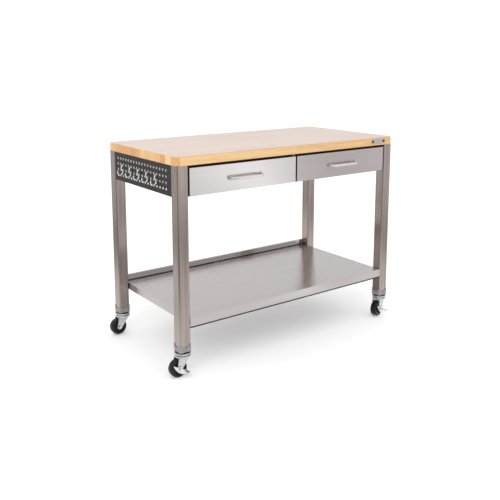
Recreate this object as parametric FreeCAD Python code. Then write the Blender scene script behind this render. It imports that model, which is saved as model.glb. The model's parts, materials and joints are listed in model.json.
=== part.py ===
import FreeCAD, Part
import math
import os

# Kitchen island cart: a butcher-block top on four square steel legs, two drawers
# on telescopic slides, a perforated side panel with S-hooks, a low shelf and
# four swivel casters. Millimetres. The origin is on the floor under the centre
# of the top, +X is to the right, -Y is the drawer side and +Z is up.

V = FreeCAD.Vector

# ---------------------------------------------------------------- driving sizes
TOP_W, TOP_D, TOP_T = 1219.2, 609.6, 38.1
HEIGHT = 914.4
TOP_CORNER_R = 20.0
TOP_EDGE_R = 3.5

LEG = 50.0                 # square tube, outside
LEG_WALL = 1.5
LEG_CORNER_R = 5.0
LEG_OUT_X = 605.8          # outer faces of the legs
LEG_OUT_Y = 302.0
LEG_BOTTOM = 108.0

SOCKET_HALF = 27.3         # half the width of a foot socket
SOCKET_FLOOR, SOCKET_EAR_TOP = 104.0, 139.0
SOCKET_DIP_TOP, SOCKET_DIP_R = 126.5, 23.0     # scoop in the middle of each side

SHEET = 1.2                # folded steel sheet
GAP = 0.3                  # general assembly gap

APRON_BOTTOM = 749.0       # lower edge of the side and back panels
BACK_FLANGE = 26.0         # upper fold of the back panel
DRAWER_BOTTOM = 752.0
DRAWER_TOP_GAP = 9.8       # shadow gap under the top
DRAWER_SIDE_GAP = 5.8
DRAWER_CENTRE_GAP = 7.0
FRONT_DEPTH = 18.0         # folded pan of a drawer front
DRAWER_TRAVEL = 400.0
BOX_BACK_Y = 200.0
BOX_BOTTOM, BOX_TOP = 761.0, 848.0
BOX_SHEET = 1.5

SLIDE_Z = 800.0
SLIDE_T = 12.7             # thickness of a closed telescopic slide
SLIDE_H = 45.0
SLIDE_FRONT_Y, SLIDE_BACK_Y = -281.0, 292.0
SLIDE_SHEET = 1.2
SLIDE_FIT = 0.5            # room for the balls between two members
SLIDE_LAP = 60.0           # how far a drawer's rail reaches behind its box

HANDLE_CENTRES = 160.0
HANDLE_R = 6.0
HANDLE_STANDOFF = 26.0     # face to bar centre line
HANDLE_BEND_R = 22.0
HANDLE_Z = 808.0

PEG_PITCH = 25.4
PEG_COLUMNS, PEG_ROWS = 18, 4
PEG_FIRST_Y = 222.0
PEG_TOP_Z = 850.3
PEG_HOLE_R = 4.0
PANEL_OUT_X = 603.6        # outer face of the side panels
HOOK_COLUMNS = (2, 5, 8, 11, 14)
HOOK_ROW = 1
HOOK_WIRE_R = 2.7
HOOK_TOP_R, HOOK_LOW_R = 10.5, 12.5
HOOK_BOTTOM_Z = 781.0      # centre line at the bottom of the lower loop

SHELF_TOP = 247.0
SHELF_SHEET = 1.5
SHELF_W, SHELF_D = 1111.0, 602.0
SHELF_FRONT_FLANGE = 39.0
SHELF_SIDE_FLANGE = 30.0
SHELF_LIP = 28.0           # upturned rear edge
SHELF_LIP_FOLD, SHELF_LIP_RETURN = 11.0, 23.5  # it folds forwards, then down again

WHEEL_R, WHEEL_W = 38.1, 32.0
TREAD_EDGE_R = 6.0
HUB_R = 26.0
TRAIL = 25.0               # swivel axis to axle
FORK_IN, FORK_SHEET = 18.5, 2.5
AXLE_R = 4.0
AXLE_HEX = 12.0            # across the flats
LEVER_T = 2.5
LEVER_BOW, LEVER_STERN = (32.0, 0.0, 23.5), (-32.0, 0.0, -9.0)     # its two ends, from the axle
LEVER_KEEL = ((15.0, -4.5), (-4.0, -19.0), (-18.0, -22.5), (-28.0, -18.5))
TOE_REACH = 26.0           # how far the toe tab stands out from the lever
KINGPIN_R = 7.0
CROWN_Z = 80.5
RACE_R = 33.5               # lower race, on the fork
CAP_R = 34.5                # upper race, on the stem
CAP_TOP = 102.6
RUN_CLEARANCE = 0.05       # radial, between a shaft and the part that turns on it
CASTER_X = LEG_OUT_X - LEG / 2
CASTER_Y = LEG_OUT_Y - LEG / 2
# name, x side, y side, heading of the wheel behind the swivel axis, has a brake
CASTERS = (
    ("front_left", -1, -1, 180.0, True),
    ("front_right", 1, -1, 196.5, True),
    ("rear_left", -1, 1, 180.0, False),
    ("rear_right", 1, 1, 172.0, False),
)
# name, outer x side of the drawer
DRAWERS = (("left", -1), ("right", 1))

TOP_UNDER = HEIGHT - TOP_T
LEG_IN_X = LEG_OUT_X - LEG
LEG_IN_Y = LEG_OUT_Y - LEG
DRAWER_TOP = TOP_UNDER - DRAWER_TOP_GAP
DIVIDER_T = 4.0
BRACKET_T = 2.5
FRONT_RAIL_Y = (-272.0, -228.0)
FRONT_RAIL_H = 12.0
RAIL_OUT_X = LEG_IN_X - BRACKET_T      # mounting plane of the outer slides
BOX_OUT_X = RAIL_OUT_X - SLIDE_T
BOX_IN_X = DIVIDER_T / 2 + SLIDE_T
SCREW_R = 2.0
SCREW_HOLE_R = 2.2
TAP_CLEARANCE = 0.05       # radial, round a plain shank in its threaded hole
TOP_SCREW_X = (-420, -140, 140, 420)
TOP_SCREW_DEPTH = 18.0
RAIL_SHEET = 2.0           # front rail and the divider's flange
LEG_SCREW_Z = (857.0, 763.0)
SHELF_BOLT_Z = 231.0
SHELF_BOLT_R = 3.0
SHELF_BOLT_HOLE_R = 3.2
PLATE_X, PLATE_Z = 511.0, 896.0
PLATE_SIZE = (92.0, 21.0, 1.2)
PLATE_SCREW_X = 36.4
PLATE_SCREW_R = 1.7
PLATE_SCREW_DEPTH = 15.0


# ---------------------------------------------------------------- small helpers
def box(x0, x1, y0, y1, z0, z1):
    """An axis-aligned box between two corners given in any order."""
    low = V(min(x0, x1), min(y0, y1), min(z0, z1))
    return Part.makeBox(abs(x1 - x0), abs(y1 - y0), abs(z1 - z0), low)


def rod(radius, start, end):
    """A cylinder from one point to another."""
    along = end.sub(start)
    return Part.makeCylinder(radius, along.Length, start, along)


def join(shapes):
    """One shape from a list, with coplanar faces merged."""
    whole = shapes[0]
    if len(shapes) > 1:
        whole = whole.multiFuse(shapes[1:])
    return whole.removeSplitter()


def drill(shape, tools):
    """Cut a list of tools out of a shape."""
    return shape.cut(Part.makeCompound(tools)) if tools else shape


def edges_where(shape, test):
    """Straight edges whose two end points pass the test."""
    found = []
    for edge in shape.Edges:
        if len(edge.Vertexes) == 2:
            if test(edge.Vertexes[0].Point, edge.Vertexes[1].Point):
                found.append(edge)
    return found


def is_vertical(a, b):
    return abs(a.x - b.x) < 1e-6 and abs(a.y - b.y) < 1e-6


def sweep(path_edges, radius, normal):
    """A round wire along tangent edges that start at a point with this direction."""
    path = Part.Wire(path_edges)
    start = path_edges[0].Vertexes[0].Point
    section = Part.Wire([Part.makeCircle(radius, start, normal)])
    return path.makePipeShell([section], True, False)


def arc(centre, radius, start_deg, end_deg, u, v):
    """A circular arc edge in the plane of the unit vectors u and v."""
    def at(deg):
        a = math.radians(deg)
        return centre + u * (radius * math.cos(a)) + v * (radius * math.sin(a))
    return Part.Arc(at(start_deg), at((start_deg + end_deg) / 2), at(end_deg)).toShape()


def line(a, b):
    return Part.LineSegment(a, b).toShape()


def pan_head_screw(seat, direction, length, radius=SCREW_R):
    """A pan-head screw: its head stands on the seat, its shank runs along direction."""
    d = V(direction).normalize()
    head = rod(radius * 2.1, seat - d * (radius * 1.2), seat)
    outer = [e for e in head.Edges if e.Closed and e.CenterOfMass.sub(seat).Length > 0.1]
    head = head.makeFillet(radius * 0.6, outer)
    return head.fuse(rod(radius, seat, seat + d * length)).removeSplitter()


def for_each_leg(build):
    """Shapes made by build(x_side, y_side) at the four corners."""
    return [build(sx, sy) for sx in (-1, 1) for sy in (-1, 1)]


# ---------------------------------------------------------------- top and legs
def top_screw_spots():
    """Places of the screws that go up into the top, each with its flange's thickness."""
    spots = [(x, LEG_OUT_Y - 12, SHEET) for x in TOP_SCREW_X]
    spots += [(x, sum(FRONT_RAIL_Y) / 2, RAIL_SHEET) for x in TOP_SCREW_X]
    spots += [(s * (PANEL_OUT_X - 12), y, SHEET) for s in (-1, 1) for y in (-180, 180)]
    spots += [(12, y, RAIL_SHEET) for y in (-200, 20, 240)]
    return spots


def top_screw_holes():
    """Clearance holes through whatever flange lies under the top at each spot."""
    return [rod(SCREW_HOLE_R, V(x, y, TOP_UNDER - 4), V(x, y, TOP_UNDER + 1))
            for x, y, flange in top_screw_spots()]


def wood_top():
    block = box(-TOP_W / 2, TOP_W / 2, -TOP_D / 2, TOP_D / 2, TOP_UNDER, HEIGHT)
    block = block.makeFillet(TOP_CORNER_R, edges_where(block, is_vertical))
    rims = [e for e in block.Edges if e.BoundBox.ZLength < 1e-6]
    block = block.makeFillet(TOP_EDGE_R, rims)
    deepest = TOP_UNDER + TOP_SCREW_DEPTH + GAP
    holes = [rod(SCREW_R + TAP_CLEARANCE, V(x, y, TOP_UNDER - 5), V(x, y, deepest))
             for x, y, flange in top_screw_spots()]
    front = -TOP_D / 2
    for side in (-1, 1):
        x = PLATE_X + side * PLATE_SCREW_X
        holes.append(rod(PLATE_SCREW_R + TAP_CLEARANCE, V(x, front - 5, PLATE_Z),
                         V(x, front + PLATE_SCREW_DEPTH + GAP, PLATE_Z)))
    return drill(block, holes)


def leg(sx, sy):
    x0, x1 = sx * LEG_IN_X, sx * LEG_OUT_X
    y0, y1 = sy * LEG_IN_Y, sy * LEG_OUT_Y
    tube = box(x0, x1, y0, y1, LEG_BOTTOM, TOP_UNDER)
    tube = tube.makeFillet(LEG_CORNER_R, edges_where(tube, is_vertical))
    wx, wy = sx * LEG_WALL, sy * LEG_WALL
    core = box(x0 + wx, x1 - wx, y0 + wy, y1 - wy, LEG_BOTTOM - 1, TOP_UNDER + 1)
    core = core.makeFillet(LEG_CORNER_R - LEG_WALL, edges_where(core, is_vertical))
    y = sy * CASTER_Y
    holes = [rod(SCREW_HOLE_R, V(x1 + sx * 5, y, z), V(x0 - sx * 5, y, z)) for z in LEG_SCREW_Z]
    holes.append(rod(SHELF_BOLT_HOLE_R, V(x0 - sx * 5, y, SHELF_BOLT_Z), V(x0 + sx * 6, y, SHELF_BOLT_Z)))
    return drill(tube.cut(core), holes)


def foot_socket(sx, sy):
    """A cap round the foot of a leg: four raised ears at its corners, a threaded boss inside."""
    cx, cy = sx * CASTER_X, sy * CASTER_Y
    half, top, floor = SOCKET_HALF, SOCKET_EAR_TOP, SOCKET_FLOOR
    cap = box(cx - half, cx + half, cy - half, cy + half, floor, top)
    cap = cap.makeFillet(7.0, edges_where(cap, is_vertical))
    low_rim = [e for e in cap.Edges if e.BoundBox.ZMax < floor + 1e-6]
    cap = cap.makeFillet(6.5, low_rim)
    inner = LEG / 2 + 0.1
    pocket = box(cx - inner, cx + inner, cy - inner, cy + inner, LEG_BOTTOM, top + 1)
    pocket = pocket.makeFillet(LEG_CORNER_R - 0.1, edges_where(pocket, is_vertical))
    dip_z = SOCKET_DIP_TOP + SOCKET_DIP_R
    dips = [rod(SOCKET_DIP_R, V(cx - 40, cy, dip_z), V(cx + 40, cy, dip_z)),
            rod(SOCKET_DIP_R, V(cx, cy - 40, dip_z), V(cx, cy + 40, dip_z))]
    boss = rod(14.0, V(cx, cy, LEG_BOTTOM - 1), V(cx, cy, 132))
    stem_hole = rod(6.1, V(cx, cy, floor - 1), V(cx, cy, 128.5))
    return drill(join([drill(cap, [pocket] + dips), boss]), [stem_hole])


def corner_bracket(sx, sy):
    """An angle inside the leg: it carries the slides and is held by the leg screws."""
    x0, x1 = sx * LEG_IN_X, sx * RAIL_OUT_X
    y_in, y_out = sy * (LEG_IN_Y + 3), sy * (LEG_OUT_Y - 3)
    plate = box(x0, x1, y_in, y_out, APRON_BOTTOM + 4, TOP_UNDER)
    tab = box(x1, sx * 515, sy * (LEG_IN_Y + 22), y_out, TOP_UNDER - BRACKET_T, TOP_UNDER)
    y = sy * CASTER_Y
    holes = [rod(SCREW_R + TAP_CLEARANCE, V(x0 + sx * 5, y, z), V(x1 - sx * 5, y, z)) for z in LEG_SCREW_Z]
    return drill(join([plate, tab]), holes)


def leg_screw(sx, sy, z):
    """A long screw through the leg: head outside, thread in the bracket inside."""
    seat = V(sx * LEG_OUT_X, sy * CASTER_Y, z)
    return pan_head_screw(seat, V(-sx, 0, 0), LEG + BRACKET_T)


# ---------------------------------------------------------------- panels
def peg_holes(sx):
    """The grid of holes through a side panel."""
    holes = []
    outside, inside = sx * (PANEL_OUT_X + 1), sx * (PANEL_OUT_X - 3)
    for column in range(PEG_COLUMNS):
        for row in range(PEG_ROWS):
            y = PEG_FIRST_Y - PEG_PITCH * column
            z = PEG_TOP_Z - PEG_PITCH * row
            holes.append(rod(PEG_HOLE_R, V(outside, y, z), V(inside, y, z)))
    return holes


def side_panel(sx):
    """A perforated sheet between two legs, folded inwards on all four edges."""
    out, skin = sx * PANEL_OUT_X, sx * (PANEL_OUT_X - SHEET)
    y1 = LEG_IN_Y - GAP
    z0, z1 = APRON_BOTTOM, TOP_UNDER
    sheets = [
        box(out, skin, -y1, y1, z0, z1),
        box(out, sx * (PANEL_OUT_X - 24), -y1, y1, z1 - SHEET, z1),
        box(out, sx * (PANEL_OUT_X - 18), -y1, y1, z0, z0 + SHEET),
        box(out, sx * (PANEL_OUT_X - 18), -y1, -y1 + SHEET, z0, z1),
        box(out, sx * (PANEL_OUT_X - 18), y1 - SHEET, y1, z0, z1),
    ]
    return drill(join(sheets), peg_holes(sx) + top_screw_holes())


def back_panel():
    """The rear apron, folded forwards at its top and bottom."""
    x1 = LEG_IN_X - GAP
    y1 = LEG_OUT_Y
    z0, z1 = APRON_BOTTOM, TOP_UNDER
    sheets = [
        box(-x1, x1, y1 - SHEET, y1, z0, z1),
        box(-510, 510, y1 - BACK_FLANGE, y1, z1 - SHEET, z1),
        box(-x1, x1, y1 - 16, y1, z0, z0 + SHEET),
    ]
    return drill(join(sheets), top_screw_holes())


def front_rail():
    """A shallow channel behind the drawer fronts, tying the front of the frame."""
    x1, z1 = RAIL_OUT_X - GAP, TOP_UNDER
    y0, y1 = FRONT_RAIL_Y
    low = z1 - FRONT_RAIL_H
    sheets = [
        box(-x1, x1, y0, y1, z1 - RAIL_SHEET, z1),
        box(-x1, x1, y0, y0 + RAIL_SHEET, low, z1),
        box(-x1, x1, y1 - RAIL_SHEET, y1, low, z1),
    ]
    return drill(join(sheets), top_screw_holes())


def centre_divider():
    """The upright between the drawers, which carries the two inner slides."""
    z1 = TOP_UNDER
    x1 = DIVIDER_T / 2
    y0, y1 = SLIDE_FRONT_Y - 1, LEG_OUT_Y - SHEET - 1
    y_flange = LEG_OUT_Y - BACK_FLANGE - GAP
    rail_y0, rail_y1 = FRONT_RAIL_Y
    web = box(-x1, x1, y0, y1, 765, z1)
    flange = box(-x1, 22, y0, y_flange, z1 - RAIL_SHEET, z1)
    notches = [
        box(-x1 - 1, 23, rail_y0 - GAP, rail_y1 + GAP, z1 - FRONT_RAIL_H - GAP, z1 + 1),
        box(-x1 - 1, x1 + 1, y_flange, y1 + 1, z1 - SHEET - GAP, z1 + 1),
    ]
    return drill(join([web, flange]), top_screw_holes() + notches)


def top_screw(x, y, flange):
    """A wood screw: its flange is between the head and the underside of the top."""
    return pan_head_screw(V(x, y, TOP_UNDER - flange), V(0, 0, 1), flange + TOP_SCREW_DEPTH)


def name_plate():
    width, height, thick = PLATE_SIZE
    x0, z0 = PLATE_X - width / 2, PLATE_Z - height / 2
    y = -TOP_D / 2
    plate = box(x0, x0 + width, y - thick, y, z0, z0 + height)
    corners = [e for e in plate.Edges if abs(e.Length - thick) < 1e-6]
    plate = plate.makeFillet(2.5, corners)
    seats = [V(PLATE_X + s * PLATE_SCREW_X, y, PLATE_Z) for s in (-1, 1)]
    holes = [rod(PLATE_SCREW_R + 0.2, p - V(0, 3, 0), p + V(0, 1, 0)) for p in seats]
    return drill(plate, holes)


def plate_screw(side):
    seat = V(PLATE_X + side * PLATE_SCREW_X, -TOP_D / 2 - PLATE_SIZE[2], PLATE_Z)
    head = rod(5.2, seat - V(0, 2.6, 0), seat)
    outer = [e for e in head.Edges if e.Closed and e.CenterOfMass.y < seat.y - 1]
    head = head.makeFillet(1.0, outer)
    slot = box(seat.x - 4, seat.x + 4, seat.y - 4, seat.y - 1.8, seat.z - 0.6, seat.z + 0.6)
    shank = rod(PLATE_SCREW_R, seat, seat + V(0, PLATE_SCREW_DEPTH, 0))
    return head.cut(slot).fuse(shank).removeSplitter()


# ---------------------------------------------------------------- drawers
def drawer_x(sx):
    """Outer and inner x of a drawer front."""
    return sx * (LEG_IN_X - DRAWER_SIDE_GAP), sx * DRAWER_CENTRE_GAP / 2


def handle_x(sx):
    outer, inner = drawer_x(sx)
    return (outer + inner) / 2


def handle_feet(sx):
    return [V(handle_x(sx) + s * HANDLE_CENTRES / 2, -LEG_OUT_Y, HANDLE_Z) for s in (-1, 1)]


def drawer_front(sx):
    """A folded pan: a skin with four returns behind it."""
    outer, inner = drawer_x(sx)
    y0, y1 = -LEG_OUT_Y, -LEG_OUT_Y + FRONT_DEPTH
    pan = box(outer, inner, y0, y1, DRAWER_BOTTOM, DRAWER_TOP)
    rim = [e for e in pan.Edges if e.BoundBox.YMax < y0 + 1e-6]
    pan = pan.makeFillet(1.6, rim)
    hollow = box(outer - sx * SHEET, inner + sx * SHEET, y0 + SHEET, y1 + 1,
                 DRAWER_BOTTOM + SHEET, DRAWER_TOP - SHEET)
    holes = [rod(SCREW_HOLE_R, p - V(0, 3, 0), p + V(0, 4, 0)) for p in handle_feet(sx)]
    return drill(pan.cut(hollow), holes)


def drawer_box(sx):
    """An open tray of folded sheet behind the front."""
    x0, x1 = sx * BOX_OUT_X, sx * BOX_IN_X
    y0, y1 = -LEG_OUT_Y + FRONT_DEPTH, BOX_BACK_Y
    t = BOX_SHEET
    tray = box(x0, x1, y0, y1, BOX_BOTTOM, BOX_TOP)
    bay = box(x0 - sx * t, x1 + sx * t, y0 + t, y1 - t, BOX_BOTTOM + t, BOX_TOP + 1)
    holes = [rod(SCREW_HOLE_R, p + V(0, FRONT_DEPTH - 2, 0), p + V(0, FRONT_DEPTH + 4, 0))
             for p in handle_feet(sx)]
    return drill(tray.cut(bay), holes)


def drawer_handle(sx):
    """A bow handle of round bar, bent out from the front on two feet."""
    left, right = handle_feet(sx)
    ux, uy = V(1, 0, 0), V(0, 1, 0)
    out = V(0, -(HANDLE_STANDOFF - HANDLE_BEND_R), 0)
    c_left = left + out + ux * HANDLE_BEND_R
    c_right = right + out - ux * HANDLE_BEND_R
    path = [
        line(left, left + out),
        arc(c_left, HANDLE_BEND_R, 180, 270, ux, uy),
        line(c_left - uy * HANDLE_BEND_R, c_right - uy * HANDLE_BEND_R),
        arc(c_right, HANDLE_BEND_R, 270, 360, ux, uy),
        line(right + out, right),
    ]
    bar = sweep(path, HANDLE_R, V(0, -1, 0))
    collars = [rod(HANDLE_R + 3, p, p - V(0, 3.5, 0)) for p in (left, right)]
    holes = [rod(SCREW_R + TAP_CLEARANCE, p + V(0, 1, 0), p - V(0, 9.5, 0)) for p in (left, right)]
    return drill(join([bar] + collars), holes)


def handle_screws(sx):
    """Screws from inside the box, through the front, into the handle's feet."""
    depth = FRONT_DEPTH + BOX_SHEET
    return [pan_head_screw(p + V(0, depth, 0), V(0, -1, 0), depth + 9) for p in handle_feet(sx)]


def channel(x_web, x_lip, half_height, y0, y1):
    """A C-section rail along Y: a web at x_web with two flanges reaching x_lip."""
    t = SLIDE_SHEET
    inward = 1 if x_lip > x_web else -1
    web = box(x_web, x_web + inward * t, y0, y1, SLIDE_Z - half_height, SLIDE_Z + half_height)
    top = box(x_web, x_lip, y0, y1, SLIDE_Z + half_height - t, SLIDE_Z + half_height)
    low = box(x_web, x_lip, y0, y1, SLIDE_Z - half_height, SLIDE_Z - half_height + t)
    return join([web, top, low])


def slide_pair(sx, build):
    """The two slides of a drawer: one on the outer bracket, one on the divider."""
    return [build(sx * RAIL_OUT_X, -sx), build(sx * DIVIDER_T / 2, sx)]


def rail_half_height(members_inside):
    """Half the height of a slide member: each one runs inside the one before."""
    return SLIDE_H / 2 - members_inside * (SLIDE_SHEET + SLIDE_FIT)


def fixed_rail(wall_x, inward):
    """The slide member screwed to the frame."""
    return channel(wall_x, wall_x + inward * 9.5, rail_half_height(0), SLIDE_FRONT_Y, SLIDE_BACK_Y)


def middle_rail(wall_x, inward):
    """The member that runs out half as far as the drawer."""
    return channel(wall_x + inward * 2.6, wall_x + inward * 10.6, rail_half_height(1),
                   SLIDE_FRONT_Y + 3, SLIDE_BACK_Y - 4)


def drawer_rail(wall_x, inward):
    """The member screwed to the side of the drawer box, closed side to the box."""
    return channel(wall_x + inward * SLIDE_T, wall_x + inward * 5.0, rail_half_height(2),
                   SLIDE_FRONT_Y + 1, BOX_BACK_Y + SLIDE_LAP)


# ---------------------------------------------------------------- hooks
def hook(column):
    """An S-hook: the small loop goes through the panel, the large one hangs outside."""
    y = PEG_FIRST_Y - PEG_PITCH * column
    hole_z = PEG_TOP_Z - PEG_PITCH * HOOK_ROW
    rest_z = hole_z - (PEG_HOLE_R - HOOK_WIRE_R - RUN_CLEARANCE)     # on the lower edge of its hole
    waist_x = -(PANEL_OUT_X + GAP + HOOK_WIRE_R)                     # where it leans on the panel
    top = V(-(PANEL_OUT_X - SHEET / 2), y, rest_z - HOOK_TOP_R)
    low = V(waist_x - HOOK_LOW_R, y, HOOK_BOTTOM_Z + HOOK_LOW_R)
    ux, uz = V(1, 0, 0), V(0, 0, 1)

    # the straight middle of the S touches both loops, on opposite sides
    span = top.sub(low)
    turn = math.atan2(span.z, span.x) - math.acos((HOOK_TOP_R + HOOK_LOW_R) / span.Length)
    lean = math.degrees(turn)
    leave = V(math.cos(turn), 0, math.sin(turn))
    tail = top + ux * HOOK_TOP_R
    tip = low - ux * HOOK_LOW_R
    path = [
        line(tail - uz * 2, tail),
        arc(top, HOOK_TOP_R, 0, 180 + lean, ux, uz),
        line(top - leave * HOOK_TOP_R, low + leave * HOOK_LOW_R),
        arc(low, HOOK_LOW_R, lean, -180, ux, uz),
        line(tip, tip + uz * 5),
    ]
    wire = sweep(path, HOOK_WIRE_R, uz)
    ends = [Part.makeSphere(HOOK_WIRE_R, tail - uz * 2), Part.makeSphere(HOOK_WIRE_R, tip + uz * 5)]
    return join([wire] + ends)


# ---------------------------------------------------------------- shelf
def shelf():
    """A folded pan: deck, flanges down on three sides and a hollow lip along the rear."""
    x1, y1, t = SHELF_W / 2, SHELF_D / 2, SHELF_SHEET
    z1 = SHELF_TOP
    front_z = z1 - SHELF_FRONT_FLANGE
    side_z = z1 - SHELF_SIDE_FLANGE
    lip_z = z1 + SHELF_LIP
    sheets = [
        box(-x1, x1, -y1, y1, z1 - t, z1),
        box(-x1, x1, -y1, -y1 + t, front_z, z1),
        box(-x1 + 2, x1 - 2, -y1, -y1 + 14, front_z, front_z + t),
        box(-x1, -x1 + t, -y1, y1, side_z, z1),
        box(x1 - t, x1, -y1, y1, side_z, z1),
        box(-x1, x1, y1 - t, y1, z1 - t, lip_z),
        box(-x1, x1, y1 - SHELF_LIP_FOLD, y1, lip_z - t, lip_z),
        box(-x1, x1, y1 - SHELF_LIP_FOLD, y1 - SHELF_LIP_FOLD + t, lip_z - SHELF_LIP_RETURN, lip_z),
    ]

    def bolt_hole(sx, sy):
        y = sy * CASTER_Y
        return rod(SHELF_BOLT_HOLE_R, V(sx * (x1 - 6), y, SHELF_BOLT_Z), V(sx * (x1 + 3), y, SHELF_BOLT_Z))

    return drill(join(sheets), for_each_leg(bolt_hole))


def shelf_stiffener(y):
    """A channel under the deck, open downwards."""
    x1, z1, t = SHELF_W / 2 - 8, SHELF_TOP - SHELF_SHEET, SHELF_SHEET
    outer = box(-x1, x1, y - 22, y + 22, z1 - 22, z1)
    return outer.cut(box(-x1 - 1, x1 + 1, y - 22 + t, y + 22 - t, z1 - 23, z1 - t))


def shelf_bolt(sx, sy):
    """A bolt from under the deck through the shelf's flange into the leg."""
    seat = V(sx * (SHELF_W / 2 - SHELF_SHEET), sy * CASTER_Y, SHELF_BOLT_Z)
    head = Part.makeCylinder(5.5, 4, seat, V(-sx, 0, 0))
    return head.fuse(rod(SHELF_BOLT_R, seat, seat + V(sx * 9, 0, 0))).removeSplitter()


# ---------------------------------------------------------------- casters
def hexagon(centre, across, u, v):
    """A hexagonal face in the plane of u and v, this far across its flats."""
    r = across / math.sqrt(3)
    turns = [math.radians(60 * k) for k in range(7)]
    corners = [centre + u * (r * math.cos(a)) + v * (r * math.sin(a)) for a in turns]
    return Part.Face(Part.makePolygon(corners))


def place_caster(shape, sx, sy, heading):
    """From the caster's own frame, wheel behind the swivel on +X, to its leg."""
    moved = shape.copy()
    moved.rotate(V(0, 0, 0), V(0, 0, 1), heading)
    moved.translate(V(sx * CASTER_X, sy * CASTER_Y, 0))
    return moved


def caster_stem():
    """Threaded stem, top race and the kingpin that the fork turns on."""
    cap = rod(CAP_R, V(0, 0, 95.2), V(0, 0, CAP_TOP))
    rims = [e for e in cap.Edges if e.Closed]
    cap = cap.makeFillet(2.6, rims)
    neck = rod(CAP_R - 5, V(0, 0, 93.2), V(0, 0, 96))
    nut = hexagon(V(0, 0, CAP_TOP), 22.5, V(1, 0, 0), V(0, 1, 0)).extrude(V(0, 0, 104 - CAP_TOP))
    stem = rod(6.0, V(0, 0, CAP_TOP), V(0, 0, 128))
    kingpin = rod(KINGPIN_R, V(0, 0, 80.2), V(0, 0, 93.2))
    head = rod(11.0, V(0, 0, 77.4), V(0, 0, 80.2))
    return join([cap, neck, nut, stem, kingpin, head])


def caster_fork():
    """Raceway, crown and two tapering arms down to the axle."""
    race = rod(RACE_R, V(0, 0, CROWN_Z + 2), V(0, 0, 92.7))
    rim = [e for e in race.Edges if e.Closed and e.CenterOfMass.z > 92]
    race = race.makeFillet(2.0, rim)
    half = FORK_IN + FORK_SHEET
    crown = join([rod(29.0, V(0, 0, CROWN_Z), V(0, 0, CROWN_Z + 3)),
                  box(-18, 29, -half, half, CROWN_Z, CROWN_Z + 3)])
    parts = [race, crown]
    for side in (-1, 1):
        parts.append(fork_arm(side))
    holes = [rod(KINGPIN_R + RUN_CLEARANCE, V(0, 0, CROWN_Z - 5), V(0, 0, 95)),
             rod(AXLE_R + 0.02, V(TRAIL, -half - 1, WHEEL_R), V(TRAIL, half + 1, WHEEL_R))]
    return drill(join(parts), holes)


def fork_arm(side):
    """One arm: a plate tapering from the crown to a round end at the axle."""
    y = side * FORK_IN
    end_r = 11.5
    axle = V(TRAIL, y, WHEEL_R)
    top_back, top_front = V(29, y, CROWN_Z + 1), V(-20, y, CROWN_Z + 1)

    def tangent(top, turn):
        """Where a line from the arm's top corner touches the round end."""
        span = top.sub(axle)
        reach = math.hypot(span.x, span.z)
        angle = math.atan2(span.z, span.x) + turn * math.acos(end_r / reach)
        return axle + V(end_r * math.cos(angle), 0, end_r * math.sin(angle))

    back, front = tangent(top_back, -1), tangent(top_front, 1)
    outline = Part.Wire([
        line(top_front, top_back),
        line(top_back, back),
        Part.Arc(back, axle - V(0, 0, end_r), front).toShape(),
        line(front, top_front),
    ])
    plate = Part.Face(outline).extrude(V(0, side * FORK_SHEET, 0))
    return plate


def caster_tyre():
    """The rubber tread, a ring round the hub with rounded shoulders."""
    half = WHEEL_W / 2
    ring = rod(WHEEL_R, V(TRAIL, -half, WHEEL_R), V(TRAIL, half, WHEEL_R))
    rims = [e for e in ring.Edges if e.Closed]
    ring = ring.makeFillet(TREAD_EDGE_R, rims)
    return ring.cut(rod(HUB_R, V(TRAIL, -half - 1, WHEEL_R), V(TRAIL, half + 1, WHEEL_R)))


def caster_hub():
    """A dished hub with a bush that runs on the axle."""
    disc = rod(HUB_R, V(TRAIL, -13, WHEEL_R), V(TRAIL, 13, WHEEL_R))
    dish = [rod(20.0, V(TRAIL, s * 14, WHEEL_R), V(TRAIL, s * 8, WHEEL_R)) for s in (-1, 1)]
    bush = rod(9.0, V(TRAIL, -18.2, WHEEL_R), V(TRAIL, 18.2, WHEEL_R))
    bore = rod(AXLE_R + RUN_CLEARANCE, V(TRAIL, -20, WHEEL_R), V(TRAIL, 20, WHEEL_R))
    return drill(join([drill(disc, dish), bush]), [bore])


def axle_set(has_brake):
    """Bolt and nut through the fork; a braked caster's bolt is longer by its lever."""
    outer = FORK_IN + FORK_SHEET
    head_y = outer + (LEVER_T + 2 * GAP if has_brake else 0.0)

    def hex_along_y(y, thickness):
        return hexagon(V(TRAIL, y, WHEEL_R), AXLE_HEX, V(1, 0, 0), V(0, 0, 1)).extrude(V(0, thickness, 0))

    bolt_end = V(TRAIL, -outer - 7.5, WHEEL_R)
    shank = rod(AXLE_R, bolt_end, V(TRAIL, head_y, WHEEL_R))
    bolt = join([shank, hex_along_y(head_y, 4.5)])
    thread = rod(AXLE_R + 0.02, bolt_end, V(TRAIL, -outer + 1, WHEEL_R))
    nut = hex_along_y(-outer, -5.5).cut(thread)
    return [bolt, nut]


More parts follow.
